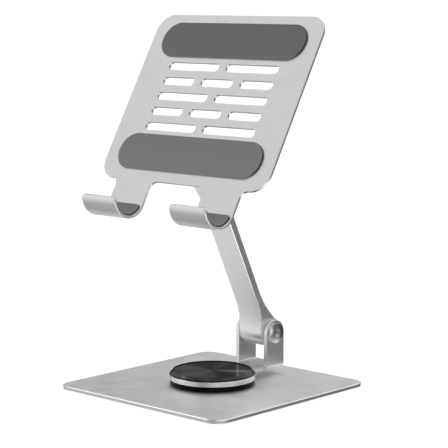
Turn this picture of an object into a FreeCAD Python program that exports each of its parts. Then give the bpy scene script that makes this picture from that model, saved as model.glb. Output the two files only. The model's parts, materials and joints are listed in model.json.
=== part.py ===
import FreeCAD, Part
import math
import os
from FreeCAD import Placement, Rotation, Vector

# Folding tablet stand: square base, swivel disc, U-shaped yoke, friction-hinged arm and a
# slotted panel whose two legs curl forward into hooks.
# Frame: millimetres, +Z up, the front faces -Y, the origin is the middle of the base where it
# meets the table. The stand is modelled in its working pose.

# ---------------------------------------------------------------- driving dimensions
RUN_FIT = 0.06           # radial clearance of a turning fit
FACE_FIT = 0.05          # clearance between two faces that slide on each other
SEAT_FIT = 0.02          # radial clearance of a fit that stays still
CUT_MARGIN = 1.0         # how far a cutter runs past the face it cuts
ON_FACE = 1e-4           # tolerance for picking the edges that lie on a face

SHEET_THICKNESS = 0.8    # anti-slip sheet under the base
SHEET_INSET = 4.0
SHEET_CORNER = 5.0
BASE_SIDE = 120.0
BASE_THICKNESS = 2.0
BASE_CORNER = 8.0
BASE_CHAMFER = 0.3
BASE_UNDER_CHAMFER = 0.1

DISC_RADIUS = 23.2       # fixed lower disc of the swivel
DISC_THICKNESS = 2.65
DISC_CHAMFER = 0.3
DISC_SCREW_CIRCLE = 19.6
DISC_SCREW_COUNT = 3
DISC_SCREW_COVER = 0.7   # of the lower disc above each screw's end
DISC_SCREW_END_GAP = 0.1
BEARING_RADIUS = 16.2    # plain bearing washer between disc and yoke
BEARING_RECESS = 0.5
RIVET_RADIUS = 4.0       # solid rivet that the yoke turns on
RIVET_HEAD_RADIUS = 7.0
RIVET_HEAD_HEIGHT = 0.6
RIVET_FOOT_RADIUS = 6.0
RIVET_FOOT_DEPTH = 1.6
RETAINER_RADIUS = 7.6    # thin washer under the rivet head
RETAINER_THICKNESS = 0.3

RING_RADIUS = 23.75      # brushed trim ring that turns with the yoke
RING_WALL = 1.75
RING_HEIGHT = 2.8
RING_GAP = 0.15          # between the lower disc and the ring
RING_NOTCH_GAP = 0.1     # beside the yoke's tongue
RING_CHAMFER = 0.3
COVER_RADIUS = 23.3
COVER_HEIGHT = 2.1
COVER_BEVEL = 1.6
COVER_HOLLOW_RADIUS = 20.4
COVER_HOLLOW_DEPTH = 1.0
INLAY_RADIUS = 21.0
INLAY_THICKNESS = 0.3
INLAY_SINK = 0.5
INLAY_GAP = 0.04

CLEVIS_HALF_WIDTH = 11.66   # yoke and panel bracket are bent from the same strip
CLEVIS_THICKNESS = 2.36
CLEVIS_EAR_RADIUS = 7.13
CLEVIS_OUTER_BEND = 2.8
CLEVIS_INNER_BEND = 0.5
CLEVIS_CHAMFER = 0.12
TONGUE_HALF_WIDTH = 10.4
LOWER_PIVOT_Y = 39.1
LOWER_PIVOT_HEIGHT = 26.5
YOKE_UNDERSIDE = 6.0

PIN_RADIUS = 3.0         # both pivots use the same screw, sleeve nut, bush and washers
NUT_SLEEVE_RADIUS = 4.2
HEAD_RADIUS = 5.65
HEAD_RIM = 0.8
HEAD_HEIGHT = 1.7
SOCKET_ACROSS_FLATS = 4.5
SCREW_SOCKET_DEPTH = 1.55
NUT_SOCKET_DEPTH = 0.7
NUT_BORE_DEPTH = 0.6     # how far the nut's bore runs into its head
PIN_END_GAP = 0.2
BUSH_RADIUS = 4.5
FRICTION_WASHER_RADIUS = 7.9
FRICTION_WASHER_THICKNESS = 0.5
DISC_SPRING_RADIUS = 6.5
DISC_SPRING_THICKNESS = 0.25
DISC_SPRING_CONE = 0.1

ARM_LENGTH = 106.2       # between the two pivots
ARM_LEAN = 25.8          # degrees forward of upright
ARM_HALF_WIDTH = 8.3
ARM_THICKNESS = 4.4
ARM_BAR_FORWARD = 0.25   # the bar's middle lies in front of the line between the pivots
ARM_BARREL_RADIUS = 8.0
ARM_FRONT_BLEND = 37.0
ARM_REAR_BLEND = 50.0
ARM_CHAMFER = 0.3

PANEL_LEAN = 30.0        # degrees back from upright
PANEL_SETBACK = 13.3     # from the upper pivot forward to the panel's front face
PANEL_SHEET = 1.5
PANEL_HALF_WIDTH = 60.75
PANEL_TOP = 85.2         # heights on the panel are measured along it from the upper pivot
PANEL_BOTTOM = -16.2
PANEL_CORNER = 10.8
PANEL_CHAMFER = 0.15
LEG_INSIDE = 19.8
LEG_OUTSIDE = 45.5
LEG_FILLET = 4.3
LEG_OVERLAP = 1.0        # of each hook's strip with the leg above its bend

SLOT_HEIGHT = 5.0
SLOT_PITCH = 9.25
SLOT_ROWS = 5
SLOT_MIDDLE = 34.6
SLOT_FIELD_HALF_WIDTH = 40.0
SLOT_BRIDGE = 5.0

HOOK_BEND_HEIGHT = -30.4
HOOK_RADIUS = 9.75       # inner radius of the curl
HOOK_SWEEP = 139.5       # degrees
HOOK_LIP = 3.0
HOOK_LIP_CORNER = 2.4

PAD_HALF_LENGTH = 52.0
PAD_HALF_HEIGHT = 10.6
PAD_THICKNESS = 1.0
PAD_EDGE = 0.3
PAD_UPPER_HEIGHT = 69.3
PAD_LOWER_HEIGHT = 0.5
HOOK_PAD_THICKNESS = 0.9
HOOK_PAD_INSET = 1.0
HOOK_PAD_LEAD = 0.1
HOOK_PAD_LIP = 2.2
HOOK_PAD_CORNER = 2.0

BRACKET_PLATE_HALF_LENGTH = 9.6
BRACKET_PLATE_CORNER = 1.5
BRACKET_SCREW_X = 5.6
BRACKET_SCREW_Z = 6.4

# M3 countersunk screws
M3_RADIUS = 1.5
M3_HEAD_RADIUS = 2.8
M3_HEAD_DEPTH = 1.3
M3_DRIVE_RADIUS = 1.0
M3_DRIVE_DEPTH = 0.7

# ---------------------------------------------------------------- derived heights and places
BASE_UNDERSIDE = SHEET_THICKNESS
BASE_TOP = BASE_UNDERSIDE + BASE_THICKNESS
DISC_TOP = BASE_TOP + DISC_THICKNESS
BEARING_FLOOR = DISC_TOP - BEARING_RECESS
YOKE_TOP = YOKE_UNDERSIDE + CLEVIS_THICKNESS
RING_BOTTOM = DISC_TOP + RING_GAP
RING_TOP = RING_BOTTOM + RING_HEIGHT
COVER_TOP = RING_TOP + COVER_HEIGHT
HUB_RADIUS = RING_RADIUS - RING_WALL - SEAT_FIT
LOWER_PIVOT = Vector(0, LOWER_PIVOT_Y, LOWER_PIVOT_HEIGHT)
ARM_TURN = Rotation(Vector(1, 0, 0), ARM_LEAN)
UPPER_PIVOT = LOWER_PIVOT + ARM_TURN.multVec(Vector(0, 0, ARM_LENGTH))
PANEL_TURN = Rotation(Vector(1, 0, 0), -PANEL_LEAN)
PANEL_FRONT = -PANEL_SETBACK
PANEL_BACK = PANEL_FRONT + PANEL_SHEET
EAR_INSIDE = CLEVIS_HALF_WIDTH - CLEVIS_THICKNESS
UP = Vector(0, 0, 1)
ALONG_X = Vector(1, 0, 0)
ALONG_Y = Vector(0, 1, 0)


# ---------------------------------------------------------------- shape helpers
def box(x_range, y_range, z_range):
    """Box between the given low and high values on each axis."""
    corner = Vector(x_range[0], y_range[0], z_range[0])
    return Part.makeBox(x_range[1] - x_range[0], y_range[1] - y_range[0],
                        z_range[1] - z_range[0], corner)


def rounded_face(corners, to_space):
    """Flat face from (a, b, radius) corners, each corner rounded by its own radius."""
    count = len(corners)
    arcs = []
    for i, (a, b, radius) in enumerate(corners):
        here = Vector(a, b, 0)
        if radius == 0:
            arcs.append((here, None, here))
            continue
        before = Vector(corners[i - 1][0], corners[i - 1][1], 0)
        after = Vector(corners[(i + 1) % count][0], corners[(i + 1) % count][1], 0)
        back = (before - here).normalize()
        ahead = (after - here).normalize()
        half_angle = back.getAngle(ahead) / 2
        reach = radius / math.tan(half_angle)
        bisector = (back + ahead).normalize()
        middle = here + bisector * (radius / math.sin(half_angle) - radius)
        arcs.append((here + back * reach, middle, here + ahead * reach))

    edges = []
    for i, (start, middle, end) in enumerate(arcs):
        if middle is not None:
            edges.append(Part.Arc(to_space(start), to_space(middle), to_space(end)).toShape())
        following = arcs[(i + 1) % count][0]
        if end.distanceToPoint(following) > ON_FACE:
            edges.append(Part.LineSegment(to_space(end), to_space(following)).toShape())
    return Part.Face(Part.Wire(edges))


def flat_plate(corners, z_low, height):
    """Plate with a rounded outline in X and Y, standing from z_low upwards."""
    face = rounded_face(corners, lambda p: Vector(p.x, p.y, z_low))
    return face.extrude(Vector(0, 0, height))


def upright_plate(corners, y_front, thickness):
    """Plate with a rounded outline in X and Z, from y_front backwards."""
    face = rounded_face(corners, lambda p: Vector(p.x, y_front, p.y))
    return face.extrude(Vector(0, thickness, 0))


def rectangle(half_x, half_y, radius, middle=(0.0, 0.0)):
    """Corners of a rectangle for the plate functions."""
    x, y = middle
    return [(x - half_x, y - half_y, radius), (x + half_x, y - half_y, radius),
            (x + half_x, y + half_y, radius), (x - half_x, y + half_y, radius)]


def turned(profile):
    """Solid of revolution about Z from (radius, height) points."""
    wire = Part.makePolygon([Vector(r, 0, z) for r, z in profile + profile[:1]])
    return Part.Face(wire).revolve(Vector(0, 0, 0), UP, 360)


def tube(outer, inner, z_low, height):
    """Plain round tube about Z."""
    return turned([(inner, z_low), (outer, z_low), (outer, z_low + height), (inner, z_low + height)])


def countersunk_screw(length):
    """Countersunk screw with a hexagon socket: head face at z=0, shank towards +Z."""
    blank = turned([(0, 0), (M3_HEAD_RADIUS, 0), (M3_RADIUS, M3_HEAD_DEPTH),
                    (M3_RADIUS, length), (0, length)])
    return blank.cut(hexagon(M3_DRIVE_RADIUS * 2, 0, M3_DRIVE_DEPTH))


def countersunk_hole(length):
    """Cutter for a countersunk screw, larger all round by the seat fit."""
    head = M3_HEAD_RADIUS + SEAT_FIT
    shank = M3_RADIUS + SEAT_FIT
    return turned([(0, -CUT_MARGIN), (head, -CUT_MARGIN), (head, 0),
                   (shank, M3_HEAD_DEPTH), (shank, length), (0, length)])


def hexagon(across_flats, z_low, height):
    """Upright hexagonal prism about Z."""
    radius = across_flats / 2 / math.cos(math.pi / 6)
    corners = [Vector(radius * math.cos(i * math.pi / 3), radius * math.sin(i * math.pi / 3), z_low)
               for i in range(7)]
    return Part.Face(Part.makePolygon(corners)).extrude(Vector(0, 0, height))


def placed(shape, position, rotation=Rotation()):
    """Copy of a shape, turned and then moved."""
    copy = shape.copy()
    copy.Placement = Placement(position, rotation).multiply(copy.Placement)
    return copy


def on_panel(shape):
    """Shape drawn in the panel's own frame, taken to its place on the stand."""
    return placed(shape, UPPER_PIVOT, PANEL_TURN)


def edges_where(shape, test):
    """Edges whose every sampled point passes the test."""
    chosen = []
    for edge in shape.Edges:
        first, last = edge.ParameterRange
        samples = [edge.valueAt(first + (last - first) * k / 4) for k in range(5)]
        if all(test(point) for point in samples):
            chosen.append(edge)
    return chosen


def export(name, *solids):
    """Write one node as STEP; several solids of one node go into one compound."""
    shape = solids[0] if len(solids) == 1 else Part.makeCompound(list(solids))
    if not shape.isValid():
        raise ValueError(name + " is not a valid shape")
    shape.exportStep("parts/" + name + ".step")


# ---------------------------------------------------------------- base and swivel
def disc_screw_places():
    """Places of the screws that hold the lower disc to the base plate."""
    places = []
    for i in range(DISC_SCREW_COUNT):
        angle = math.radians(90 + 360 * i / DISC_SCREW_COUNT)
        places.append(Vector(DISC_SCREW_CIRCLE * math.cos(angle),
                             DISC_SCREW_CIRCLE * math.sin(angle), BASE_UNDERSIDE))
    return places


def rivet_profile(extra):
    """Foot and shank of the swivel rivet, larger all round by extra."""
    return [(0, BASE_UNDERSIDE), (RIVET_FOOT_RADIUS + extra, BASE_UNDERSIDE),
            (RIVET_RADIUS + extra, BASE_UNDERSIDE + RIVET_FOOT_DEPTH)]


def make_base_plate():
    """Steel base plate with its edges broken and its screws and rivet sunk from below."""
    half = BASE_SIDE / 2
    plate = flat_plate(rectangle(half, half, BASE_CORNER), BASE_UNDERSIDE, BASE_THICKNESS)
    top_edges = edges_where(plate, lambda p: abs(p.z - BASE_TOP) < ON_FACE)
    plate = plate.makeChamfer(BASE_CHAMFER, top_edges)
    bottom_edges = edges_where(plate, lambda p: abs(p.z - BASE_UNDERSIDE) < ON_FACE)
    plate = plate.makeChamfer(BASE_UNDER_CHAMFER, bottom_edges)
    for place in disc_screw_places():
        plate = plate.cut(placed(countersunk_hole(BASE_THICKNESS + CUT_MARGIN), place))
    cut_top = BASE_TOP + CUT_MARGIN
    rivet_hole = turned(rivet_profile(SEAT_FIT) + [(RIVET_RADIUS + SEAT_FIT, cut_top), (0, cut_top)])
    return plate.cut(rivet_hole)


def make_anti_slip_sheet():
    """Silicone sheet stuck under the base plate; the stand rests on it."""
    half = BASE_SIDE / 2 - SHEET_INSET
    return flat_plate(rectangle(half, half, SHEET_CORNER), 0, SHEET_THICKNESS)


def disc_screw_length():
    """Length of a disc screw, which ends inside the lower disc."""
    return DISC_TOP - BASE_UNDERSIDE - DISC_SCREW_COVER


def make_lower_disc():
    """Fixed disc of the swivel with a recess for the bearing washer."""
    bore = RIVET_RADIUS + SEAT_FIT
    recess = BEARING_RADIUS + SEAT_FIT
    disc = turned([(bore, BASE_TOP), (DISC_RADIUS - DISC_CHAMFER, BASE_TOP),
                   (DISC_RADIUS, BASE_TOP + DISC_CHAMFER), (DISC_RADIUS, DISC_TOP - DISC_CHAMFER),
                   (DISC_RADIUS - DISC_CHAMFER, DISC_TOP), (recess, DISC_TOP),
                   (recess, BEARING_FLOOR), (bore, BEARING_FLOOR)])
    for place in disc_screw_places():
        disc = disc.cut(placed(countersunk_hole(disc_screw_length() + DISC_SCREW_END_GAP), place))
    return disc


def make_bearing_washer():
    """Plain bearing washer that carries the yoke on the lower disc."""
    thickness = YOKE_UNDERSIDE - FACE_FIT - BEARING_FLOOR
    return tube(BEARING_RADIUS, RIVET_RADIUS + SEAT_FIT, BEARING_FLOOR, thickness)


def make_swivel_rivet():
    """Rivet through base plate, lower disc and yoke; its head holds the turning parts down."""
    head_low = YOKE_TOP + RETAINER_THICKNESS + FACE_FIT
    head_top = head_low + RIVET_HEAD_HEIGHT
    edge = RIVET_HEAD_HEIGHT / 2
    return turned(rivet_profile(0) + [(RIVET_RADIUS, head_low), (RIVET_HEAD_RADIUS, head_low),
                                      (RIVET_HEAD_RADIUS, head_top - edge),
                                      (RIVET_HEAD_RADIUS - edge, head_top), (0, head_top)])


def make_swivel_ring():
    """Trim ring round the yoke's hub, cut away at the back where the tongue passes."""
    inner = RING_RADIUS - RING_WALL
    ring = turned([(inner, RING_BOTTOM), (RING_RADIUS - RING_CHAMFER, RING_BOTTOM),
                   (RING_RADIUS, RING_BOTTOM + RING_CHAMFER), (RING_RADIUS, RING_TOP - RING_CHAMFER),
                   (RING_RADIUS - RING_CHAMFER, RING_TOP), (inner, RING_TOP)])
    side = TONGUE_HALF_WIDTH + RING_NOTCH_GAP
    return ring.cut(box((-side, side), (0, RING_RADIUS + CUT_MARGIN),
                        (RING_BOTTOM - CUT_MARGIN, RING_TOP + CUT_MARGIN)))


def make_swivel_cover():
    """Bevelled cover over the rivet head, with a shallow seat for the patterned inlay."""
    hollow_top = RING_TOP + COVER_HOLLOW_DEPTH
    seat = COVER_TOP - INLAY_THICKNESS - INLAY_SINK
    inlay_seat = INLAY_RADIUS + INLAY_GAP
    return turned([(COVER_HOLLOW_RADIUS, RING_TOP), (COVER_RADIUS, RING_TOP),
                   (COVER_RADIUS, COVER_TOP - COVER_BEVEL), (COVER_RADIUS - COVER_BEVEL, COVER_TOP),
                   (inlay_seat, COVER_TOP), (inlay_seat, seat), (0, seat), (0, hollow_top),
                   (COVER_HOLLOW_RADIUS, hollow_top)])


def make_swivel_inlay():
    """Thin patterned disc set into the cover."""
    top = COVER_TOP - INLAY_SINK
    bottom = top - INLAY_THICKNESS
    return turned([(0, bottom), (INLAY_RADIUS, bottom), (INLAY_RADIUS, top), (0, top)])


# ---------------------------------------------------------------- pivots
def make_pivot_head(socket_depth):
    """Domed head with a hexagon socket, its bearing face at z=0 and its top towards +Z."""
    seat = Vector(0, 0, 0)
    foot = Vector(HEAD_RADIUS, 0, 0)
    rim = Vector(HEAD_RADIUS, 0, HEAD_RIM)
    top = Vector(0, 0, HEAD_HEIGHT)
    rise = HEAD_HEIGHT - HEAD_RIM
    dome_radius = (HEAD_RADIUS ** 2 + rise ** 2) / (2 * rise)
    half_turn = math.asin(HEAD_RADIUS / dome_radius) / 2
    middle = Vector(dome_radius * math.sin(half_turn), 0,
                    HEAD_HEIGHT - dome_radius * (1 - math.cos(half_turn)))
    outline = [Part.LineSegment(seat, foot), Part.LineSegment(foot, rim),
               Part.Arc(rim, middle, top), Part.LineSegment(top, seat)]
    face = Part.Face(Part.Wire([piece.toShape() for piece in outline]))
    head = face.revolve(seat, UP, 360)
    return head.cut(hexagon(SOCKET_ACROSS_FLATS, HEAD_HEIGHT - socket_depth, socket_depth + CUT_MARGIN))


def make_pivot_screw():
    """Pivot screw about X through the origin: head on the right, shank to the left."""
    seat = Vector(CLEVIS_HALF_WIDTH, 0, 0)
    head = placed(make_pivot_head(SCREW_SOCKET_DEPTH), seat, Rotation(ALONG_Y, 90))
    tip = -CLEVIS_HALF_WIDTH - NUT_BORE_DEPTH + PIN_END_GAP
    shank = Part.makeCylinder(PIN_RADIUS, CLEVIS_HALF_WIDTH - tip, Vector(tip, 0, 0), ALONG_X)
    return head.fuse(shank).removeSplitter()


def make_pivot_nut():
    """Sleeve nut on the left: domed head outside the ear, sleeve through it."""
    seat = Vector(-CLEVIS_HALF_WIDTH, 0, 0)
    head = placed(make_pivot_head(NUT_SOCKET_DEPTH), seat, Rotation(ALONG_Y, -90))
    sleeve = Part.makeCylinder(NUT_SLEEVE_RADIUS, CLEVIS_THICKNESS, seat, ALONG_X)
    bore = Part.makeCylinder(PIN_RADIUS + SEAT_FIT, NUT_BORE_DEPTH + CLEVIS_THICKNESS + CUT_MARGIN,
                             seat - ALONG_X * NUT_BORE_DEPTH, ALONG_X)
    return head.fuse(sleeve).cut(bore).removeSplitter()


def make_bush():
    """Bush in an arm barrel that turns on the pivot screw."""
    bush = tube(BUSH_RADIUS - SEAT_FIT, PIN_RADIUS + RUN_FIT, -ARM_HALF_WIDTH, 2 * ARM_HALF_WIDTH)
    return placed(bush, Vector(0, 0, 0), Rotation(ALONG_Y, 90))


def pair_on_pivot(washer):
    """A washer drawn about Z with its inner face at its true height, on both sides of the arm."""
    return (placed(washer, Vector(0, 0, 0), Rotation(ALONG_Y, 90)),
            placed(washer, Vector(0, 0, 0), Rotation(ALONG_Y, -90)))


def make_friction_washers():
    """One friction washer at each side of the arm."""
    return pair_on_pivot(tube(FRICTION_WASHER_RADIUS, PIN_RADIUS + RUN_FIT,
                              ARM_HALF_WIDTH + FACE_FIT, FRICTION_WASHER_THICKNESS))


def make_disc_springs():
    """One dished spring washer between each friction washer and its ear."""
    bore = PIN_RADIUS + RUN_FIT
    low = ARM_HALF_WIDTH + 2 * FACE_FIT + FRICTION_WASHER_THICKNESS
    return pair_on_pivot(turned([(bore, low + DISC_SPRING_CONE), (DISC_SPRING_RADIUS, low),
                                 (DISC_SPRING_RADIUS, low + DISC_SPRING_THICKNESS),
                                 (bore, low + DISC_SPRING_CONE + DISC_SPRING_THICKNESS)]))


# ---------------------------------------------------------------- yoke, bracket and arm
def make_clevis(depth):
    """U-shaped clevis round the X axis, its bent base at z=-depth and its ears up to the pivot."""
    outside = CLEVIS_HALF_WIDTH
    ear_top = CLEVIS_EAR_RADIUS
    floor = CLEVIS_THICKNESS - depth
    corners = [(-outside, ear_top, 0), (-outside, -depth, CLEVIS_OUTER_BEND),
               (outside, -depth, CLEVIS_OUTER_BEND), (outside, ear_top, 0), (EAR_INSIDE, ear_top, 0),
               (EAR_INSIDE, floor, CLEVIS_INNER_BEND), (-EAR_INSIDE, floor, CLEVIS_INNER_BEND),
               (-EAR_INSIDE, ear_top, 0)]
    channel = upright_plate(corners, -CLEVIS_EAR_RADIUS, 2 * CLEVIS_EAR_RADIUS)
    silhouette = box((-outside, outside), (-CLEVIS_EAR_RADIUS, CLEVIS_EAR_RADIUS), (-depth, 0))
    round_top = Part.makeCylinder(CLEVIS_EAR_RADIUS, 2 * outside, Vector(-outside, 0, 0), ALONG_X)
    clevis = channel.common(silhouette.fuse(round_top).removeSplitter())
    bend_end = CLEVIS_OUTER_BEND - depth
    outer = edges_where(clevis, lambda p: abs(abs(p.x) - outside) < ON_FACE and p.z > bend_end - ON_FACE)
    rims = [edge for edge in outer if edge.BoundBox.ZLength > ON_FACE]
    clevis = clevis.makeChamfer(CLEVIS_CHAMFER, rims)
    middle = Vector(0, 0, 0)
    screw_hole = Part.makeCylinder(PIN_RADIUS + SEAT_FIT, outside + CUT_MARGIN, middle, ALONG_X)
    nut_hole = Part.makeCylinder(NUT_SLEEVE_RADIUS + SEAT_FIT, outside + CUT_MARGIN, middle, -ALONG_X)
    return clevis.cut(screw_hole).cut(nut_hole)


def make_yoke():
    """Yoke: clevis at the back of the swivel, joined by a tongue to the round hub on the rivet."""
    clevis = placed(make_clevis(LOWER_PIVOT_HEIGHT - YOKE_UNDERSIDE), LOWER_PIVOT)
    tongue = box((-TONGUE_HALF_WIDTH, TONGUE_HALF_WIDTH), (0, LOWER_PIVOT_Y), (YOKE_UNDERSIDE, YOKE_TOP))
    hub = Part.makeCylinder(HUB_RADIUS, CLEVIS_THICKNESS, Vector(0, 0, YOKE_UNDERSIDE))
    rivet_hole = Part.makeCylinder(RIVET_RADIUS + RUN_FIT, CLEVIS_THICKNESS + 2 * CUT_MARGIN,
                                   Vector(0, 0, YOKE_UNDERSIDE - CUT_MARGIN))
    return clevis.fuse(tongue).fuse(hub).removeSplitter().cut(rivet_hole)


def bracket_screw_places():
    """Places of the bracket screws on the panel's front face, in the panel's frame."""
    return [Vector(side * BRACKET_SCREW_X, PANEL_FRONT, end * BRACKET_SCREW_Z)
            for side in (-1, 1) for end in (-1, 1)]


def make_panel_bracket():
    """Clevis behind the panel, with a base plate that the screws pull against the sheet."""
    clevis = placed(make_clevis(-PANEL_BACK), Vector(0, 0, 0), Rotation(ALONG_X, -90))
    plate = upright_plate(rectangle(TONGUE_HALF_WIDTH, BRACKET_PLATE_HALF_LENGTH, BRACKET_PLATE_CORNER),
                          PANEL_BACK, CLEVIS_THICKNESS)
    bracket = clevis.fuse(plate).removeSplitter()
    hole = countersunk_hole(PANEL_SHEET + CLEVIS_THICKNESS + CUT_MARGIN)
    for place in bracket_screw_places():
        bracket = bracket.cut(placed(hole, place, Rotation(ALONG_X, -90)))
    return bracket


def make_bracket_screws():
    """Countersunk screws from the panel's front into the bracket, hidden by the lower pad."""
    screw = countersunk_screw(PANEL_SHEET + CLEVIS_THICKNESS)
    return [placed(screw, place, Rotation(ALONG_X, -90)) for place in bracket_screw_places()]


def arm_blend(side, radius, upper):
    """Bar end, middle and barrel end of one fillet; side is -1 at the front and 1 at the rear."""
    face = ARM_THICKNESS / 2 - side * ARM_BAR_FORWARD
    barrel = ARM_BARREL_RADIUS
    across = face + radius
    along = math.sqrt((barrel + radius) ** 2 - across ** 2)
    turn = math.atan2(along, across) / 2
    share = barrel / (barrel + radius)
    points = [(side * face, along),
              (side * (across - radius * math.cos(turn)), along - radius * math.sin(turn)),
              (side * across * share, along * share)]
    if upper:
        points = [(y, ARM_LENGTH - z) for y, z in points]
    return [Vector(-ARM_HALF_WIDTH, y, z) for y, z in points]


def make_arm():
    """Flat arm with a barrel at each end, blended into the bar by large fillets."""
    front_low = arm_blend(-1, ARM_FRONT_BLEND, False)
    front_high = arm_blend(-1, ARM_FRONT_BLEND, True)
    rear_low = arm_blend(1, ARM_REAR_BLEND, False)
    rear_high = arm_blend(1, ARM_REAR_BLEND, True)
    bottom = Vector(-ARM_HALF_WIDTH, 0, -ARM_BARREL_RADIUS)
    top = Vector(-ARM_HALF_WIDTH, 0, ARM_LENGTH + ARM_BARREL_RADIUS)
    outline = [Part.Arc(front_low[2], bottom, rear_low[2]),
               Part.Arc(rear_low[2], rear_low[1], rear_low[0]),
               Part.LineSegment(rear_low[0], rear_high[0]),
               Part.Arc(rear_high[0], rear_high[1], rear_high[2]),
               Part.Arc(rear_high[2], top, front_high[2]),
               Part.Arc(front_high[2], front_high[1], front_high[0]),
               Part.LineSegment(front_high[0], front_low[0]),
               Part.Arc(front_low[0], front_low[1], front_low[2])]
    face = Part.Face(Part.Wire([piece.toShape() for piece in outline]))
    arm = face.extrude(Vector(2 * ARM_HALF_WIDTH, 0, 0))
    side_edges = edges_where(arm, lambda p: abs(abs(p.x) - ARM_HALF_WIDTH) < ON_FACE)
    arm = arm.makeChamfer(ARM_CHAMFER, side_edges)
    cut_start = -ARM_HALF_WIDTH - CUT_MARGIN
    for height in (0, ARM_LENGTH):
        arm = arm.cut(Part.makeCylinder(BUSH_RADIUS, -2 * cut_start, Vector(cut_start, 0, height), ALONG_X))
    return placed(arm, LOWER_PIVOT, ARM_TURN)


# ---------------------------------------------------------------- panel and pads
def hook_strip(x_range, surface_radius, thickness, start_height, lip_length):
    """Strip of even thickness that runs down the leg, round the curl and up the lip.

    surface_radius is the radius of its inner face; the strip lies outside that face.
    """
    bend_y = PANEL_FRONT - HOOK_RADIUS
    sweep = math.radians(HOOK_SWEEP)

    def on_curl(radius, angle):
        return Vector(x_range[0], bend_y + radius * math.cos(angle),
                      HOOK_BEND_HEIGHT - radius * math.sin(angle))

    lip = Vector(0, -math.sin(sweep), -math.cos(sweep)) * lip_length
    outer_radius = surface_radius + thickness
    inner_start = on_curl(surface_radius, 0)
    inner_end = on_curl(surface_radius, sweep)
    outer_start = on_curl(outer_radius, 0)
    outer_end = on_curl(outer_radius, sweep)
    rise = Vector(0, 0, start_height - HOOK_BEND_HEIGHT)
    outline = [Part.LineSegment(inner_start + rise, inner_start),
               Part.Arc(inner_start, on_curl(surface_radius, sweep / 2), inner_end),
               Part.LineSegment(inner_end, inner_end + lip),
               Part.LineSegment(inner_end + lip, outer_end + lip),
               Part.LineSegment(outer_end + lip, outer_end),
               Part.Arc(outer_end, on_curl(outer_radius, sweep / 2), outer_start),
               Part.LineSegment(outer_start, outer_start + rise),
               Part.LineSegment(outer_start + rise, inner_start + rise)]
    face = Part.Face(Part.Wire([piece.toShape() for piece in outline]))
    return face.extrude(Vector(x_range[1] - x_range[0], 0, 0))


def round_lip(strip, thickness, corner):
    """Round the two free corners of a hook strip's lip."""
    sweep = math.radians(HOOK_SWEEP)
    along = Vector(0, -math.sin(sweep), -math.cos(sweep))
    reach = max(vertex.Point.dot(along) for vertex in strip.Vertexes)
    tips = [edge for edge in strip.Edges
            if abs(edge.Length - thickness) < ON_FACE
            and all(abs(vertex.Point.dot(along) - reach) < ON_FACE for vertex in edge.Vertexes)]
    return strip.makeFillet(corner, tips)


def slot_cutters():
    """Round-ended slots in rows: two long ones, and between those rows three shorter ones."""
    field = SLOT_FIELD_HALF_WIDTH
    gap = SLOT_BRIDGE / 2
    third = (2 * field - 2 * SLOT_BRIDGE) / 3
    long_row = [(-field, -gap), (gap, field)]
    short_row = [(-field, -field + third), (-third / 2, third / 2), (field - third, field)]
    half_height = SLOT_HEIGHT / 2
    cutters = []
    for row in range(SLOT_ROWS):
        height = SLOT_MIDDLE + (row - (SLOT_ROWS - 1) / 2) * SLOT_PITCH
        for left, right in (short_row if row % 2 else long_row):
            middle = ((left + right) / 2, height)
            corners = rectangle((right - left) / 2, half_height, half_height, middle)
            cutters.append(upright_plate(corners, PANEL_FRONT - CUT_MARGIN, PANEL_SHEET + 2 * CUT_MARGIN))
    return cutters


def make_panel_plate():
    """Panel sheet with its slots and the two legs that curl forward into hooks."""
    side = PANEL_HALF_WIDTH
    end = HOOK_BEND_HEIGHT
    outline = [(-side, PANEL_TOP, PANEL_CORNER), (side, PANEL_TOP, PANEL_CORNER),
               (side, PANEL_BOTTOM, PANEL_CORNER), (LEG_OUTSIDE, PANEL_BOTTOM, LEG_FILLET),
               (LEG_OUTSIDE, end, 0), (LEG_INSIDE, end, 0), (LEG_INSIDE, PANEL_BOTTOM, LEG_FILLET),
               (-LEG_INSIDE, PANEL_BOTTOM, LEG_FILLET), (-LEG_INSIDE, end, 0), (-LEG_OUTSIDE, end, 0),
               (-LEG_OUTSIDE, PANEL_BOTTOM, LEG_FILLET), (-side, PANEL_BOTTOM, PANEL_CORNER)]
    plate = upright_plate(outline, PANEL_FRONT, PANEL_SHEET)
    for sign in (-1, 1):
        x_range = sorted((sign * LEG_INSIDE, sign * LEG_OUTSIDE))
        hook = hook_strip(x_range, HOOK_RADIUS, PANEL_SHEET, end + LEG_OVERLAP, HOOK_LIP)
        plate = plate.fuse(round_lip(hook, PANEL_SHEET, HOOK_LIP_CORNER))
    plate = plate.removeSplitter()
    front = edges_where(plate, lambda p: abs(p.y - PANEL_FRONT) < ON_FACE and p.z > end + ON_FACE)
    back = edges_where(plate, lambda p: abs(p.y - PANEL_BACK) < ON_FACE and p.z > end + ON_FACE)
    plate = plate.makeChamfer(PANEL_CHAMFER, front + back)
    for slot in slot_cutters():
        plate = plate.cut(slot)
    for place in bracket_screw_places():
        plate = plate.cut(placed(countersunk_hole(PANEL_SHEET + CUT_MARGIN), place, Rotation(ALONG_X, -90)))
    return plate


def make_pad(height):
    """Round-ended silicone pad on the panel's front face."""
    corners = rectangle(PAD_HALF_LENGTH, PAD_HALF_HEIGHT, PAD_HALF_HEIGHT, (0, height))
    front = PANEL_FRONT - PAD_THICKNESS
    pad = upright_plate(corners, front, PAD_THICKNESS)
    front_edges = edges_where(pad, lambda p: abs(p.y - front) < ON_FACE)
    return pad.makeChamfer(PAD_EDGE, front_edges)


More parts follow.
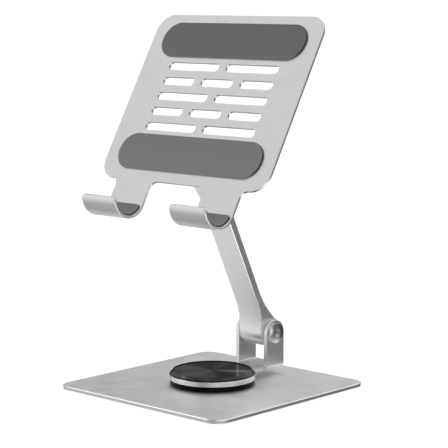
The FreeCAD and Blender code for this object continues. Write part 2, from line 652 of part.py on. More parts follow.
def make_hook_pad(sign):
    """Silicone strip that lines one hook from the leg to near the lip's end."""
    x_range = sorted((sign * (LEG_INSIDE + HOOK_PAD_INSET), sign * (LEG_OUTSIDE - HOOK_PAD_INSET)))
    strip = hook_strip(x_range, HOOK_RADIUS - HOOK_PAD_THICKNESS, HOOK_PAD_THICKNESS,
                       HOOK_BEND_HEIGHT + HOOK_PAD_LEAD, HOOK_PAD_LIP)
    return round_lip(strip, HOOK_PAD_THICKNESS, HOOK_PAD_CORNER)


def export_pivot(name, centre, clevis_turn):
    """Write the screw, nut, washers, springs and bush of one pivot."""
    export(name + "_pivot_screw", placed(make_pivot_screw(), centre, clevis_turn))
    export(name + "_pivot_nut", placed(make_pivot_nut(), centre, clevis_turn))
    export(name + "_friction_washers",
           *[placed(washer, centre, clevis_turn) for washer in make_friction_washers()])
    export(name + "_disc_springs", *[placed(spring, centre, clevis_turn) for spring in make_disc_springs()])
    export(name + "_bush", placed(make_bush(), centre, ARM_TURN))


# ---------------------------------------------------------------- build every node
os.makedirs("parts", exist_ok=True)

export("base_plate", make_base_plate())
export("anti_slip_sheet", make_anti_slip_sheet())
export("swivel_lower_disc", make_lower_disc())
export("swivel_disc_screws",
       *[placed(countersunk_screw(disc_screw_length()), place) for place in disc_screw_places()])
export("swivel_bearing_washer", make_bearing_washer())
export("swivel_rivet", make_swivel_rivet())

export("yoke", make_yoke())
export("swivel_retaining_washer",
       tube(RETAINER_RADIUS, RIVET_RADIUS + RUN_FIT, YOKE_TOP, RETAINER_THICKNESS))
export("swivel_ring", make_swivel_ring())
export("swivel_cover", make_swivel_cover())
export("swivel_inlay", make_swivel_inlay())

export("arm", make_arm())
export("panel_plate", on_panel(make_panel_plate()))
export("panel_bracket", on_panel(make_panel_bracket()))
export("bracket_screws", *[on_panel(screw) for screw in make_bracket_screws()])
export("upper_pad", on_panel(make_pad(PAD_UPPER_HEIGHT)))
export("lower_pad", on_panel(make_pad(PAD_LOWER_HEIGHT)))
export("hook_pad_left", on_panel(make_hook_pad(-1)))
export("hook_pad_right", on_panel(make_hook_pad(1)))

export_pivot("lower", LOWER_PIVOT, Rotation())
export_pivot("upper", UPPER_PIVOT, PANEL_TURN)
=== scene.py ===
import json
import math

import bmesh
import bpy
from mathutils import Matrix, Vector


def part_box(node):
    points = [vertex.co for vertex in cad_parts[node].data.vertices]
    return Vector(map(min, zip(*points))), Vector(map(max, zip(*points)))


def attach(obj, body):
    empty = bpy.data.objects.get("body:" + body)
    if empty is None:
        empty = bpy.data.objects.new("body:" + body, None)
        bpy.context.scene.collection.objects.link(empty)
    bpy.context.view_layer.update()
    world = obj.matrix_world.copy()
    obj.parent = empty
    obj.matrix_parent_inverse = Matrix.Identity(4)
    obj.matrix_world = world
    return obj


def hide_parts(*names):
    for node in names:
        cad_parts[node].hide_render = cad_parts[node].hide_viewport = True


# The looks of a folding tablet stand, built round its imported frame. Metres, +Z up, front at -Y.

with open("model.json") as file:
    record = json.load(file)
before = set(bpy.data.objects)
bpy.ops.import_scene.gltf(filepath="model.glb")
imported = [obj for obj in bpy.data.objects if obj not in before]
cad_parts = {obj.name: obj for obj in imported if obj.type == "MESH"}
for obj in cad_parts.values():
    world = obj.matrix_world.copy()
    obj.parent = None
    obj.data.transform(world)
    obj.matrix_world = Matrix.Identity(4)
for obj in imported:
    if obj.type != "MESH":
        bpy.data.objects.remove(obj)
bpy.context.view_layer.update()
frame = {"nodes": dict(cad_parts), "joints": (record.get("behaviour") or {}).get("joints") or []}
NODES = frame["nodes"]
JOINTS = {joint["name"]: joint for joint in frame["joints"]}
MM = 0.001

# ---------------------------------------------------------------- sizes of the pieces made here
PANEL_LEAN = math.radians(30)
PANEL_FRONT = 13.3 * MM          # how far the panel's front face is ahead of the upper pivot
PAD_RADIUS = 10.6 * MM
PAD_HALF_LENGTH = 52 * MM
PAD_THICKNESS = 1.0 * MM
PAD_EDGE = 0.45 * MM
PAD_CROWN = 0.06 * MM            # rise of the pad's middle above its rounded edge
PAD_CORE = 0.3 * MM              # half width of the flat strip along the pad's middle
PAD_UPPER_HEIGHT = 69.3 * MM     # heights up the panel, from the upper pivot
PAD_LOWER_HEIGHT = 0.5 * MM
HOOK_BEND_HEIGHT = -30.4 * MM
HOOK_RADIUS = 9.75 * MM
HOOK_SWEEP = math.radians(139.5)
HOOK_PAD_THICKNESS = 0.9 * MM
HOOK_PAD_LEAD = 0.1 * MM         # straight run before the curl
HOOK_PAD_LIP = 2.2 * MM          # straight run after it
HOOK_PAD_CORNER = 2.0 * MM
HOOK_PAD_EDGE = 0.35 * MM
SHEET_THICKNESS = 0.8 * MM
SHEET_CORNER = 5 * MM
SHEET_EDGE = 0.25 * MM
SHEET_GROOVES = 8
SHEET_GROOVE_PITCH = 5 * MM
SHEET_GROOVE_DEPTH = 0.3 * MM    # and the width of each of its sloping sides
SHEET_GROOVE_FLOOR = 0.6 * MM
SHEET_TOP_RIM = 15 * MM          # width of the ring of faces round the top face

# ---------------------------------------------------------------- finishes
SATIN_TONE = 0.90
SATIN_ROUGHNESS = 0.38
# tone of the painted highlight on rounded-off edges and on a highlight zone
EDGE_HIGHLIGHT_TONE = 0.98
ARM_EDGE_RADIUS = 0.15 * MM
PANEL_EDGE_RADIUS = 0.35 * MM
HOOK_EDGE_RADIUS = 1.3 * MM
PLATE_EDGE_RADIUS = 0.12 * MM
TURNED_EDGE_RADIUS = 0.2 * MM
PLATE_CUT_TOP = 2.5 * MM         # height where the base plate's sides meet its broken edge
PLATE_EDGE_SLOPE = math.sqrt(0.5)
BEND_SHADE_TONE = 0.56            # share of the tone left by painted shade on the outside of the hook curls,
UNDERCUT_SHADE_TONE = 0.35             # on the walls of the panel's cuts that face down,
PLATE_SIDE_SHADE_TONE = 0.62              # and on the base plate's sides
BEND_SHADE_RISE = (math.radians(50), math.radians(112))   # angles round the curl, from the sheet above it
BEND_SHADE_FALL = (math.radians(150), math.radians(130))
COVER_BEVEL_HEIGHT = 8.9 * MM    # where the cover's wall turns into its bevel
COVER_BEVEL_BLEND = 0.3 * MM
COVER_SHEEN_CENTRE = math.radians(-85)  # middle of the stretch of bevel with a painted sheen, toned like the inlay
COVER_SHEEN_REACH = math.radians(35)
COVER_SHEEN_FADE = math.radians(17)
COVER_SHEEN_TONE = 0.04
SILICONE_LOW = 100 * MM          # heights between which the painted light on the silicone fades out
SILICONE_HIGH = 190 * MM

# tone of the inlay's painted reflection by angle, in degrees anticlockwise from +X
INLAY_REFLECTION_SECTORS = (
    (-180, 0.050), (-172, 0.120), (-140, 0.100), (-127, 0.050), (-115, 0.100), (-105, 0.130), (-75, 0.110),
    (-60, 0.070), (-45, 0.070), (-32, 0.006), (0, 0.010), (20, 0.070), (34, 0.300), (42, 0.090),
    (55, 0.015), (95, 0.020), (112, 0.080), (130, 0.020), (165, 0.020), (180, 0.050))

# ---------------------------------------------------------------- camera
CAMERA_PLACE = Vector((0.6155, -0.6570, 0.2144))
CAMERA_AZIMUTH = math.radians(42.73)
CAMERA_ELEVATION = math.radians(7.82)
CAMERA_LENS = 134.9
CAMERA_SENSOR = 36.0
CAMERA_REACH = 50

# ---------------------------------------------------------------- studio
# Each light of the surround has a glow and says where it starts and is full: by the cosine of the
# angle from its own direction, or by the X, Y or Z part of a unit vector, or by both.
FRONT_LEFT = {"direction": (-0.75, -0.66, 0.0), "cosine": (0.30, 0.78), "glow": 0.65}
FRONT_LEFT_CORE = {"direction": (-0.75, -0.66, 0.0), "cosine": (0.92, 0.98), "glow": 0.32}
LOW_BACK = {"z": (-0.30, -0.60), "y": (-0.30, 0.15), "glow": 0.80}
LOW_FRONT_RIGHT = {"z": (-0.25, -0.50), "x": (0.0, 0.4), "y": (0.15, -0.15), "glow": 1.7}
HIGH_FRONT_RIGHT = {"direction": (0.60, -0.41, 0.69), "cosine": (0.84, 0.95), "glow": 0.7}
TOP_LEFT = {"direction": (-0.67, -0.14, 0.73), "cosine": (0.988, 0.996), "glow": 1.2}
STRIP = {"direction": (0.9925, 0.1219, 0.0), "cosine": (0.93, 0.985), "z": (0.5, 0.3), "glow": 0.95}
FRONT_RIGHT = {"direction": (0.81, -0.47, -0.34), "cosine": (0.55, 0.90), "glow": 0.10}
RIGHT = {"x": (0.2, 0.7), "glow": 0.09}
LOW = {"z": (-0.30, -0.60), "glow": 0.12}
FILL_LIGHTS = (LOW_FRONT_RIGHT, HIGH_FRONT_RIGHT, TOP_LEFT, STRIP, FRONT_RIGHT, RIGHT, LOW)
AMBIENT_GLOW = 0.05
OVERHEAD_COVER = {"direction": (0.0, 0.5, 0.866), "cosine": (0.55, 0.85), "glow": 1.0}
OVERHEAD_GLOW = 0.98
FLOOR_SIZE = 400
FLOOR_GLOW = 0.9


def grey(value):
    """Opaque neutral colour."""
    return (value, value, value, 1.0)


def panel_place(x, y, z):
    """Transform from the panel's own axes, with the origin on the upper pivot, to the row frame."""
    pivot = Matrix.Translation(Vector(JOINTS["panel_tilt"]["pos_m"]))
    return pivot @ Matrix.Rotation(-PANEL_LEAN, 4, "X") @ Matrix.Translation((x, y, z))


# ---------------------------------------------------------------- material helpers
class Tree:
    """A node tree with short calls for the nodes used here."""

    def __init__(self, tree):
        self.tree = tree

    def node(self, kind, inputs=None, **attributes):
        """New node; inputs maps socket names or numbers to values or outputs."""
        made = self.tree.nodes.new(kind)
        for name, value in attributes.items():
            setattr(made, name, value)
        for name, value in (inputs or {}).items():
            if isinstance(value, bpy.types.NodeSocket):
                self.tree.links.new(value, made.inputs[name])
            else:
                made.inputs[name].default_value = value
        return made

    def remap(self, value, low, high, from_low=0.3, from_high=0.7, kind="LINEAR"):
        """Map of a value to the range from low to high, held at the ends; a noise spans 0.3 to 0.7."""
        inputs = {"Value": value, "From Min": from_low, "From Max": from_high,
                  "To Min": low, "To Max": high}
        return self.node("ShaderNodeMapRange", inputs, interpolation_type=kind).outputs[0]

    def mask(self, value, start, full, kind="LINEAR"):
        """Goes from 0 to 1 as the value goes, up or down, from start to full."""
        low, high = (0.0, 1.0) if start < full else (1.0, 0.0)
        return self.remap(value, low, high, min(start, full), max(start, full), kind)

    def soft_mask(self, value, start, full):
        """A mask with smooth ends."""
        return self.mask(value, start, full, "SMOOTHSTEP")

    def math(self, operation, first, second=0.0):
        """Math node."""
        return self.node("ShaderNodeMath", {0: first, 1: second}, operation=operation).outputs[0]

    def product(self, first, *others):
        """Product of values or outputs."""
        for other in others:
            first = self.math("MULTIPLY", first, other)
        return first

    def sum_of_squares(self, first, second):
        """First squared plus second squared."""
        return self.math("ADD", self.product(first, first), self.product(second, second))

    def distance_from(self, value, centre):
        """How far a value is from a centre, on either side."""
        return self.math("ABSOLUTE", self.math("SUBTRACT", value, centre))

    def dot(self, first, second):
        """Dot product of two vectors."""
        inputs = {0: first, 1: second}
        return self.node("ShaderNodeVectorMath", inputs, operation="DOT_PRODUCT").outputs["Value"]

    def axes(self, vector):
        """X, Y and Z of a vector."""
        return self.node("ShaderNodeSeparateXYZ", {0: vector}).outputs

    def blend(self, factor, first, second):
        """Colour mix of two colours or colour outputs."""
        inputs = {0: factor, 6: first, 7: second}
        return self.node("ShaderNodeMix", inputs, data_type="RGBA").outputs[2]


class Shader(Tree):
    """A node material with one Principled shader and short calls for what feeds it."""

    def __init__(self, name, **settings):
        self.material = bpy.data.materials.new(name)
        self.material.use_nodes = True
        super().__init__(self.material.node_tree)
        self.main = self.tree.nodes["Principled BSDF"]
        for socket, value in settings.items():
            self.main.inputs[socket.replace("_", " ")].default_value = value

    def feed(self, socket, output):
        """Link an output to a socket of the main shader."""
        self.tree.links.new(output, self.main.inputs[socket])

    def place(self):
        """Object coordinates, in metres in the row frame."""
        return self.node("ShaderNodeTexCoord").outputs["Object"]

    def height(self):
        """Height above the table."""
        return self.axes(self.place())[2]

    def stretched(self, scale):
        """Object coordinates scaled by axis, for grain that runs one way."""
        return self.node("ShaderNodeMapping", {"Vector": self.place(), "Scale": scale}).outputs[0]

    def normal(self):
        """The surface's own normal."""
        return self.node("ShaderNodeNewGeometry").outputs["Normal"]

    def around_swivel(self):
        """Distance from the swivel's axis, angle about it and height."""
        x, y, z = self.axes(self.place())
        return self.math("SQRT", self.sum_of_squares(x, y)), self.math("ARCTAN2", y, x), z

    def across_hook(self):
        """Distances behind and above the axis of the hook curls, in the panel's own lean."""
        curl_axis = panel_place(0, -PANEL_FRONT - HOOK_RADIUS, HOOK_BEND_HEIGHT).translation
        inputs = {"Vector": self.place(), "Location": curl_axis, "Rotation": (-PANEL_LEAN, 0.0, 0.0)}
        return self.axes(self.node("ShaderNodeMapping", inputs, vector_type="TEXTURE").outputs[0])[1:]

    def noise(self, scale, detail=3.0, vector=None):
        """Noise from 0 to 1, its scale in cells per metre."""
        inputs = {"Vector": vector or self.place(), "Scale": scale, "Detail": detail, "Roughness": 0.55}
        return self.node("ShaderNodeTexNoise", inputs).outputs["Fac"]

    def rounded(self, radius):
        """Normal that rounds off every edge by the radius."""
        return self.node("ShaderNodeBevel", {"Radius": radius}, samples=6).outputs[0]

    def edge(self, rounded, start=0.02, full=0.25):
        """Mask that is 1 on rounded-off edges and 0 on flat or gently curved faces."""
        return self.mask(self.math("SUBTRACT", 1.0, self.dot(rounded, self.normal())), start, full)

    def mottled(self, noise, low, high):
        """Feed greys that go with a noise from a low to a high tone to the base colour."""
        self.feed("Base Color", self.blend(self.remap(noise, 0.0, 1.0), grey(low), grey(high)))

    def bump(self, height, depth, strength, normal=None):
        """Feed a bump of the given depth in metres to the main shader, on top of a normal."""
        inputs = {"Height": height, "Distance": depth, "Strength": strength}
        if normal:
            inputs["Normal"] = normal
        self.feed("Normal", self.node("ShaderNodeBump", inputs).outputs[0])


# ---------------------------------------------------------------- zones of the satin metal, for painted shade and painted highlight
def shaded_bend_outside(shader):
    """Mask of painted shade on the outside of the hook curls, strongest where they turn up towards the lip.
    """
    behind, above = shader.across_hook()
    away = shader.math("SQRT", shader.sum_of_squares(behind, above))
    turn = shader.math("ARCTAN2", shader.product(above, -1.0), behind)
    rise = shader.soft_mask(turn, *BEND_SHADE_RISE)
    fall = shader.soft_mask(turn, *BEND_SHADE_FALL)
    outside = shader.mask(away, HOOK_RADIUS + 0.6 * MM, HOOK_RADIUS + 1.0 * MM)
    near = shader.mask(away, HOOK_RADIUS + 3.0 * MM, HOOK_RADIUS + 2.2 * MM)
    return shader.product(rise, fall, outside, near)


def shaded_undercut(shader):
    """Mask of painted shade on the walls of the panel's cuts that face down along it, above the hooks."""
    _, height = shader.across_hook()
    down = shader.dot(shader.normal(), (0.0, -math.sin(PANEL_LEAN), -math.cos(PANEL_LEAN)))
    return shader.product(shader.mask(height, 1 * MM, 3 * MM), shader.mask(down, 0.6, 0.85))


def panel_edge_radius(shader):
    """Radius over which the panel's edges are rounded off in shading and carry a painted highlight; larger
    on the hooks.
    """
    _, height = shader.across_hook()
    return shader.remap(height, HOOK_EDGE_RADIUS, PANEL_EDGE_RADIUS, -1 * MM, 1 * MM)


def shaded_plate_side(shader):
    """Mask of painted shade on the base plate's sides, below its broken edge."""
    return shader.mask(shader.height(), PLATE_CUT_TOP, PLATE_CUT_TOP - 0.2 * MM)


def broken_edge(shader):
    """Mask of faces that slope like the base plate's broken edge."""
    upward = shader.axes(shader.normal())[2]
    return shader.mask(shader.distance_from(upward, PLATE_EDGE_SLOPE), 0.2, 0.08)


# ---------------------------------------------------------------- materials
def satin_metal(name, tone, roughness, edge_radius, painted_shade_zones=(), highlight_zone=None, edge_roughness=0.5):
    """Bead-blasted, silver-anodised metal: fine grain, faint clouding, soft rounded-off edges with a
    painted highlight.

    A zone is a function that takes the shader and returns a mask. A painted shade zone comes with the share
    of the tone that is left there, and the highlight zone gets the same painted highlight as the edges.
    These have the given share of the roughness.
    """
    shader = Shader(name, Metallic=1.0)
    clouds = shader.noise(90, detail=4.0)
    speckle = shader.noise(5200, detail=2.0)
    soft = shader.rounded(edge_radius(shader) if callable(edge_radius) else edge_radius)
    # painted highlight: paler tone, and lower roughness, on the rounded-off edges and the highlight zone
    edge_highlight = shader.edge(soft)
    if highlight_zone:
        edge_highlight = shader.math("MAXIMUM", edge_highlight, highlight_zone(shader))
    body = shader.blend(shader.remap(clouds, 0.0, 1.0), grey(tone * 0.97), grey(tone * 1.03))
    # painted shade: each zone darkens the tone to its share
    for zone, share in painted_shade_zones:
        body = shader.blend(zone(shader), body, grey(tone * share))
    grained = shader.blend(shader.remap(speckle, 0.12, 0.0), body, grey(tone * 0.6))
    shader.feed("Base Color", shader.blend(edge_highlight, grained, grey(EDGE_HIGHLIGHT_TONE)))
    face_roughness = shader.remap(clouds, roughness - 0.03, roughness + 0.03)
    share_left = shader.remap(edge_highlight, 1.0, edge_roughness, 0.0, 1.0)
    shader.feed("Roughness", shader.product(face_roughness, share_left))
    shader.bump(speckle, 0.012 * MM, strength=0.5, normal=soft)
    return shader.material


def turned_metal(name, tone, roughness):
    """Lathe-turned metal: fine rings about the swivel's axis."""
    shader = Shader(name, Metallic=1.0, Roughness=roughness)
    radius, _, height = shader.around_swivel()
    rings = shader.node("ShaderNodeCombineXYZ", {0: radius, 1: height}).outputs[0]
    lines = shader.noise(7000, detail=2.0, vector=rings)
    shader.mottled(lines, tone * 0.88, tone * 1.08)
    shader.bump(lines, 0.03 * MM, strength=0.6, normal=shader.rounded(TURNED_EDGE_RADIUS))
    return shader.material


def polished_steel(name):
    """Polished screw head with faint handling marks."""
    shader = Shader(name, Metallic=1.0)
    marks = shader.noise(700, detail=5.0, vector=shader.stretched((1.0, 1.0, 6.0)))
    shader.mottled(marks, 0.72, 0.82)
    shader.feed("Roughness", shader.remap(marks, 0.13, 0.24))
    shader.bump(marks, 0.01 * MM, strength=0.3, normal=shader.rounded(TURNED_EDGE_RADIUS))
    return shader.material


def zinc_steel(name):
    """Zinc-plated small hardware."""
    shader = Shader(name, Metallic=1.0)
    spangle = shader.noise(1500, detail=4.0)
    shader.mottled(spangle, 0.42, 0.6)
    shader.feed("Roughness", shader.remap(spangle, 0.3, 0.45))
    return shader.material


def gloss_black(name):
    """Gloss moulded cover: near black with hairline scuffs, and a painted sheen on its front bevel, toned
    like the inlay.
    """
    shader = Shader(name, IOR=1.5)
    scuffs = shader.noise(1100, detail=5.0, vector=shader.stretched((1.0, 7.0, 1.0)))
    black = shader.blend(shader.remap(scuffs, 0.0, 1.0), grey(0.004), grey(0.007))
    _, angle, height = shader.around_swivel()
    # painted sheen: paler tone round the front of the bevel
    off_front = shader.distance_from(angle, COVER_SHEEN_CENTRE)
    front = shader.soft_mask(off_front, COVER_SHEEN_REACH + COVER_SHEEN_FADE, COVER_SHEEN_REACH)
    bevel = shader.mask(height, COVER_BEVEL_HEIGHT, COVER_BEVEL_HEIGHT + COVER_BEVEL_BLEND)
    toned = shader.blend(shader.product(front, bevel), black, grey(COVER_SHEEN_TONE))
    shader.feed("Base Color", toned)
    shader.feed("Specular IOR Level", shader.remap(bevel, 0.1, 0.5, 0.0, 1.0))
    shader.feed("Roughness", shader.remap(scuffs, 0.07, 0.14))
    return shader.material


def patterned_inlay(name):
    """Dark disc with fine turned rings, under a gloss lacquer; its light and dark wedges are a painted
    reflection.
    """
    shader = Shader(name, Roughness=0.5, Specular_IOR_Level=0.1, Coat_Weight=0.3, Coat_Roughness=0.06)
    radius, angle, _ = shader.around_swivel()
    # light and dark wedges by angle: painted reflection
    reflection_sectors = shader.node("ShaderNodeValToRGB", {"Fac": shader.mask(angle, -math.pi, math.pi)})
    ramp = reflection_sectors.color_ramp
    while len(ramp.elements) < len(INLAY_REFLECTION_SECTORS):
        ramp.elements.new(0.5)
    for element, (degrees, tone) in zip(ramp.elements, INLAY_REFLECTION_SECTORS):
        element.position = (degrees + 180) / 360
        element.color = grey(tone)
    outward = shader.node("ShaderNodeCombineXYZ", {0: radius}).outputs[0]
    rings = shader.noise(9000, detail=2.0, vector=outward)
    grained = shader.blend(shader.remap(rings, 0.0, 0.3), reflection_sectors.outputs[0], grey(0.03))
    shader.feed("Base Color", grained)
    shader.bump(rings, 0.01 * MM, strength=0.25)
    return shader.material


def moulded_plastic(name, tone, roughness, gloss=0.5):
    """Plain moulded plastic with a fine matt texture."""
    shader = Shader(name, Specular_IOR_Level=gloss)
    texture = shader.noise(3500)
    shader.mottled(texture, tone * 0.85, tone * 1.15)
    shader.feed("Roughness", shader.remap(texture, roughness - 0.05, roughness + 0.05))
    shader.bump(texture, 0.015 * MM, strength=0.4)
    return shader.material


def silicone(name, tone, painted_light_tone=None):
    """Matt silicone: fine grain, dust, soft sheen and painted shade on faces turned along X; paler low down
    by painted light if asked.
    """
    shader = Shader(name, Sheen_Weight=0.12, Sheen_Roughness=0.5)
    grain = shader.noise(4200)
    dust = shader.noise(260, detail=5.0)
    body = grey(tone)
    # painted light: paler low down
    if painted_light_tone:
        painted_light_low = shader.mask(shader.height(), SILICONE_HIGH, SILICONE_LOW)
        body = shader.blend(painted_light_low, body, grey(painted_light_tone))
    clean = shader.blend(shader.remap(dust, 0.05, 0.0), body, grey(0.0))
    dusty = shader.blend(shader.remap(grain, 0.0, 0.06), clean, grey(0.5))
    # painted shade on the faces turned along X
    shaded_side_faces = shader.distance_from(shader.axes(shader.normal())[0], 0.0)
    shader.feed("Base Color", shader.blend(shader.mask(shaded_side_faces, 0.3, 0.8), dusty, grey(tone * 0.3)))
    shader.feed("Roughness", shader.remap(grain, 0.58, 0.72))
    shader.bump(grain, 0.02 * MM, strength=0.5)
    return shader.material


# ---------------------------------------------------------------- mesh helpers
def new_piece(name, mesh_data, material, smooth_angle=40):
    """Object from a bmesh, with one material and smooth shading below an angle."""
    mesh = bpy.data.meshes.new(name)
    bmesh.ops.recalc_face_normals(mesh_data, faces=mesh_data.faces)
    mesh_data.to_mesh(mesh)
    mesh_data.free()
    piece = bpy.data.objects.new(name, mesh)
    bpy.context.scene.collection.objects.link(piece)
    mesh.materials.append(material)
    mesh.polygons.foreach_set("use_smooth", [True] * len(mesh.polygons))
    mesh.set_sharp_from_angle(angle=math.radians(smooth_angle))
    return piece


def rounded_loop(half_x, half_y, radius, inset, steps=20):
    """Points of a rounded rectangle pulled in by inset, anticlockwise in X and Y."""
    radius = max(radius - inset, 0.02 * MM)
    reach_x = half_x - inset - radius
    reach_y = half_y - inset - radius
    points = []
    for quarter, (sign_x, sign_y) in enumerate(((1, 1), (-1, 1), (-1, -1), (1, -1))):
        for i in range(steps + 1):
            angle = math.pi / 2 * (quarter + i / steps)
            x = sign_x * reach_x + radius * math.cos(angle)
            y = sign_y * reach_y + radius * math.sin(angle)
            points.append((x, y))
    return points


def stacked_loops(half_x, half_y, radius, profile):
    """Closed bmesh through rounded rectangles; profile lists (inset, height) from face to face."""
    data = bmesh.new()
    rings = []
    for inset, height in profile:
        loop = rounded_loop(half_x, half_y, radius, inset)
        rings.append([data.verts.new((x, y, height)) for x, y in loop])
    for lower, upper in zip(rings, rings[1:]):
        for i in range(len(lower)):
            j = (i + 1) % len(lower)
            data.faces.new((lower[i], lower[j], upper[j], upper[i]))
    data.faces.new(list(reversed(rings[0])))
    data.faces.new(rings[-1])
    return data


def quarter_round(radius, thickness, steps=6):
    """(inset, height) points of a rounded edge that ends at the given thickness."""
    points = []
    for i in range(steps + 1):
        angle = math.pi / 2 * i / steps
        points.append((radius * (1 - math.cos(angle)), thickness - radius * (1 - math.sin(angle))))
    return points


def rounded_off(distance, full, radius):
    """What a full size comes down to at a distance in from an end rounded off by the radius."""
    if distance >= radius:
        return full
    return full - radius + math.sqrt(radius ** 2 - (radius - distance) ** 2)


def spaced(length, edge, middle_steps, edge_steps=6):
    """Stations along a length, close together near both ends."""
    near = [edge * (1 - math.cos(math.pi / 2 * i / edge_steps)) for i in range(edge_steps)]
    middle = [edge + (length - 2 * edge) * i / middle_steps for i in range(middle_steps + 1)]
    return near + middle + [length - station for station in reversed(near)]


def close_strip(data, tops, bottoms):
    """Join a grid of top vertices and one of bottom vertices into a closed strip."""
    rows, columns = len(tops), len(tops[0])
    for i in range(rows - 1):
        for j in range(columns - 1):
            data.faces.new((tops[i][j], tops[i][j + 1], tops[i + 1][j + 1], tops[i + 1][j]))
            data.faces.new((bottoms[i][j], bottoms[i + 1][j], bottoms[i + 1][j + 1], bottoms[i][j + 1]))
        for j in (0, columns - 1):
            data.faces.new((tops[i][j], tops[i + 1][j], bottoms[i + 1][j], bottoms[i][j]))
    for i in (0, rows - 1):
        for j in range(columns - 1):
            data.faces.new((tops[i][j], bottoms[i][j], bottoms[i][j + 1], tops[i][j + 1]))


# ---------------------------------------------------------------- soft pieces
def make_pad(node, mesh_data, material):
    """Silicone pad on the panel, in place of its CAD node."""
    pad = new_piece(node + "_soft", mesh_data, material)
    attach(pad, "panel")
    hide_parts(node)


def make_flat_pad(node, height, material):
    """Round-ended pad on the panel's front, slightly crowned, with a soft moulded edge."""
    profile = [(0.0, 0.0)] + quarter_round(PAD_EDGE, PAD_THICKNESS)
    crown_steps = 8
    for i in range(1, crown_steps + 1):
        share = i / crown_steps
        inset = PAD_EDGE + share * (PAD_RADIUS - PAD_EDGE - PAD_CORE)
        profile.append((inset, PAD_THICKNESS + PAD_CROWN * (1 - (1 - share) ** 2)))
    data = stacked_loops(PAD_HALF_LENGTH, PAD_RADIUS, PAD_RADIUS, profile)
    stand_up = Matrix.Rotation(math.pi / 2, 4, "X")
    data.transform(panel_place(0, -PANEL_FRONT, height) @ stand_up)
    make_pad(node, data, material)


def hook_point(run, height):
    """Y and Z of a hook pad's point: run is the way along its path, height is off the sheet."""
    radius = HOOK_RADIUS - height
    bend_y = -PANEL_FRONT - HOOK_RADIUS
    if run < HOOK_PAD_LEAD:
        return bend_y + radius, HOOK_BEND_HEIGHT + HOOK_PAD_LEAD - run
    angle = min((run - HOOK_PAD_LEAD) / HOOK_RADIUS, HOOK_SWEEP)
    beyond = max(run - HOOK_PAD_LEAD - HOOK_RADIUS * HOOK_SWEEP, 0.0)
    y = bend_y + radius * math.cos(angle) - beyond * math.sin(angle)
    z = HOOK_BEND_HEIGHT - radius * math.sin(angle) - beyond * math.cos(angle)
    return y, z


def make_hook_pad(node, material):
    """Silicone strip lining one hook, its corners rounded and its edges soft."""
    low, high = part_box(node)
    middle_x = (low.x + high.x) / 2
    half_width = (high.x - low.x) / 2
    length = HOOK_PAD_LEAD + HOOK_RADIUS * HOOK_SWEEP + HOOK_PAD_LIP
    data = bmesh.new()
    tops, bottoms = [], []
    for run in spaced(length, HOOK_PAD_CORNER, middle_steps=40, edge_steps=10):
        to_end = min(run, length - run)
        half = rounded_off(to_end, half_width, HOOK_PAD_CORNER)
        top_row, bottom_row = [], []
        for across in spaced(2 * half, HOOK_PAD_EDGE, middle_steps=10):
            inward = min(to_end, across, 2 * half - across)
            height = rounded_off(inward, HOOK_PAD_THICKNESS, HOOK_PAD_EDGE)
            x = middle_x - half + across
            top_row.append(data.verts.new((x, *hook_point(run, height))))
            bottom_row.append(data.verts.new((x, *hook_point(run, 0.0))))
        tops.append(top_row)
        bottoms.append(bottom_row)
    close_strip(data, tops, bottoms)
    data.transform(panel_place(0, 0, 0))
    make_pad(node, data, material)


def make_anti_slip_sheet(material):
    """Silicone sheet under the base, with grooves moulded into its underside."""
    low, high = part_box("anti_slip_sheet")
    half = (high.x - low.x) / 2
    profile = [(SHEET_TOP_RIM, SHEET_THICKNESS), (0.0, SHEET_THICKNESS),
               (0.0, SHEET_EDGE), (SHEET_EDGE, 0.0)]
    for ring in range(1, SHEET_GROOVES + 1):
        start = ring * SHEET_GROOVE_PITCH
        floor_start = start + SHEET_GROOVE_DEPTH
        floor_end = floor_start + SHEET_GROOVE_FLOOR
        profile += [(start, 0.0), (floor_start, SHEET_GROOVE_DEPTH),
                    (floor_end, SHEET_GROOVE_DEPTH), (floor_end + SHEET_GROOVE_DEPTH, 0.0)]
    data = stacked_loops(half, half, SHEET_CORNER, profile)
    sheet = new_piece("anti_slip_sheet_moulded", data, material, 25)
    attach(sheet, "base")
    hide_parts("anti_slip_sheet")


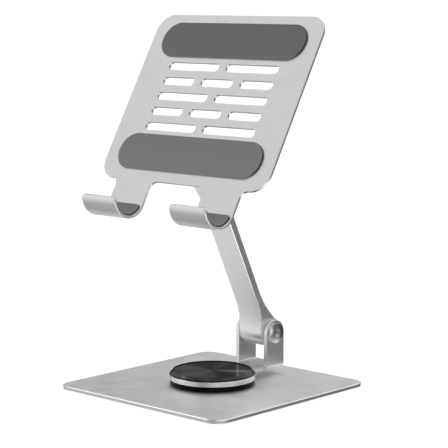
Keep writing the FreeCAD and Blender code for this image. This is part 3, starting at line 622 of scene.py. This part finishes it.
# ---------------------------------------------------------------- finishes of the CAD nodes
def finish_nodes():
    """Give every CAD node its material."""
    satin = satin_metal("satin_aluminium", SATIN_TONE, SATIN_ROUGHNESS, ARM_EDGE_RADIUS)
    # painted shade on the outside of the hook curls and on the downward walls of the panel's cuts
    sheet = satin_metal("satin_sheet", SATIN_TONE, SATIN_ROUGHNESS, panel_edge_radius,
                        painted_shade_zones=((shaded_bend_outside, BEND_SHADE_TONE), (shaded_undercut, UNDERCUT_SHADE_TONE)))
    # painted shade on the base plate's sides; painted highlight on its broken edge
    plate = satin_metal("satin_plate", 0.97, 0.44, PLATE_EDGE_RADIUS, highlight_zone=broken_edge,
                        painted_shade_zones=((shaded_plate_side, PLATE_SIDE_SHADE_TONE),), edge_roughness=0.3)
    finishes = {
        satin: ("yoke", "arm", "panel_bracket"),
        sheet: ("panel_plate",),
        plate: ("base_plate",),
        turned_metal("turned_ring", 0.88, 0.22): ("swivel_ring",),
        polished_steel("polished_steel"): (
            "lower_pivot_screw", "lower_pivot_nut", "upper_pivot_screw", "upper_pivot_nut", "swivel_rivet"),
        zinc_steel("zinc_steel"): (
            "swivel_disc_screws", "swivel_retaining_washer", "bracket_screws", "lower_disc_springs",
            "upper_disc_springs"),
        moulded_plastic("acetal", 0.75, 0.5): (
            "swivel_bearing_washer", "lower_friction_washers", "upper_friction_washers", "lower_bush",
            "upper_bush"),
        gloss_black("gloss_black"): ("swivel_cover",),
        patterned_inlay("patterned_inlay"): ("swivel_inlay",),
        moulded_plastic("black_plastic", 0.004, 0.3, gloss=0.08): ("swivel_lower_disc",),
    }
    for material, names in finishes.items():
        for name in names:
            NODES[name].data.materials.clear()
            NODES[name].data.materials.append(material)


# ---------------------------------------------------------------- studio
def make_floor():
    """Wide pale floor, lit evenly; the metal reflects the studio instead of it."""
    bpy.ops.mesh.primitive_plane_add(size=FLOOR_SIZE)
    floor = bpy.context.object
    floor.name = "studio_floor"
    shader = Shader("studio_floor", Roughness=0.9, Specular_IOR_Level=0.0, Base_Color=grey(0.3),
                    Emission_Color=grey(1.0), Emission_Strength=FLOOR_GLOW)
    floor.data.materials.append(shader.material)
    floor.visible_glossy = False


def light_glow(tree, towards, light):
    """Glow of one light of the surround in the direction of towards."""
    masks = []
    if "direction" in light:
        masks.append(tree.soft_mask(tree.dot(towards, light["direction"]), *light["cosine"]))
    for axis, part in zip("xyz", tree.axes(towards)):
        if axis in light:
            masks.append(tree.soft_mask(part, *light[axis]))
    return tree.product(light["glow"], *masks)


def make_world():
    """Soft surround: bright at the front left, overhead and low down, a strip light at the right,
    small lights high at the front right and the left. The camera itself sees plain white instead.
    """
    world = bpy.data.worlds.new("studio")
    bpy.context.scene.world = world
    world.use_nodes = True
    world.node_tree.nodes.clear()
    tree = Tree(world.node_tree)
    towards = tree.node("ShaderNodeTexCoord").outputs["Generated"]
    front_left = tree.math("ADD", light_glow(tree, towards, FRONT_LEFT),
                           light_glow(tree, towards, FRONT_LEFT_CORE))
    around = tree.math("MAXIMUM", front_left, light_glow(tree, towards, LOW_BACK))
    around = tree.math("ADD", around, AMBIENT_GLOW)
    for light in FILL_LIGHTS:
        around = tree.math("ADD", around, light_glow(tree, towards, light))
    cover = light_glow(tree, towards, OVERHEAD_COVER)
    lift = tree.product(cover, tree.math("SUBTRACT", OVERHEAD_GLOW, around))
    strength = tree.math("ADD", around, lift)
    surround = tree.node("ShaderNodeBackground", {"Strength": strength, "Color": grey(1.0)})
    backdrop = tree.node("ShaderNodeBackground", {"Color": grey(1.0)})
    seen = tree.node("ShaderNodeLightPath").outputs["Is Camera Ray"]
    mixed = tree.node("ShaderNodeMixShader", {0: seen, 1: surround.outputs[0], 2: backdrop.outputs[0]})
    tree.node("ShaderNodeOutputWorld", {0: mixed.outputs[0]})


def make_camera():
    """Camera at the front right, a little higher than the panel's top and looking slightly down."""
    level = math.cos(CAMERA_ELEVATION)
    back = Vector((math.sin(CAMERA_AZIMUTH) * level, -math.cos(CAMERA_AZIMUTH) * level,
                   math.sin(CAMERA_ELEVATION)))
    data = bpy.data.cameras.new("camera")
    data.lens = CAMERA_LENS
    data.sensor_width = CAMERA_SENSOR
    data.clip_end = CAMERA_REACH
    camera = bpy.data.objects.new("camera", data)
    bpy.context.scene.collection.objects.link(camera)
    camera.location = CAMERA_PLACE
    camera.rotation_mode = "QUATERNION"
    camera.rotation_quaternion = (-back).to_track_quat("-Z", "Y")
    bpy.context.scene.camera = camera


# ---------------------------------------------------------------- build
make_camera()
finish_nodes()
# the pads are paler low down: painted light
PAD_SILICONE = silicone("grey_silicone", 0.13, painted_light_tone=0.26)
make_flat_pad("upper_pad", PAD_UPPER_HEIGHT, PAD_SILICONE)
make_flat_pad("lower_pad", PAD_LOWER_HEIGHT, PAD_SILICONE)
make_hook_pad("hook_pad_left", PAD_SILICONE)
make_hook_pad("hook_pad_right", PAD_SILICONE)
make_anti_slip_sheet(silicone("anti_slip_silicone", 0.05))
make_floor()
make_world()
bpy.context.scene.view_settings.view_transform = "Standard"
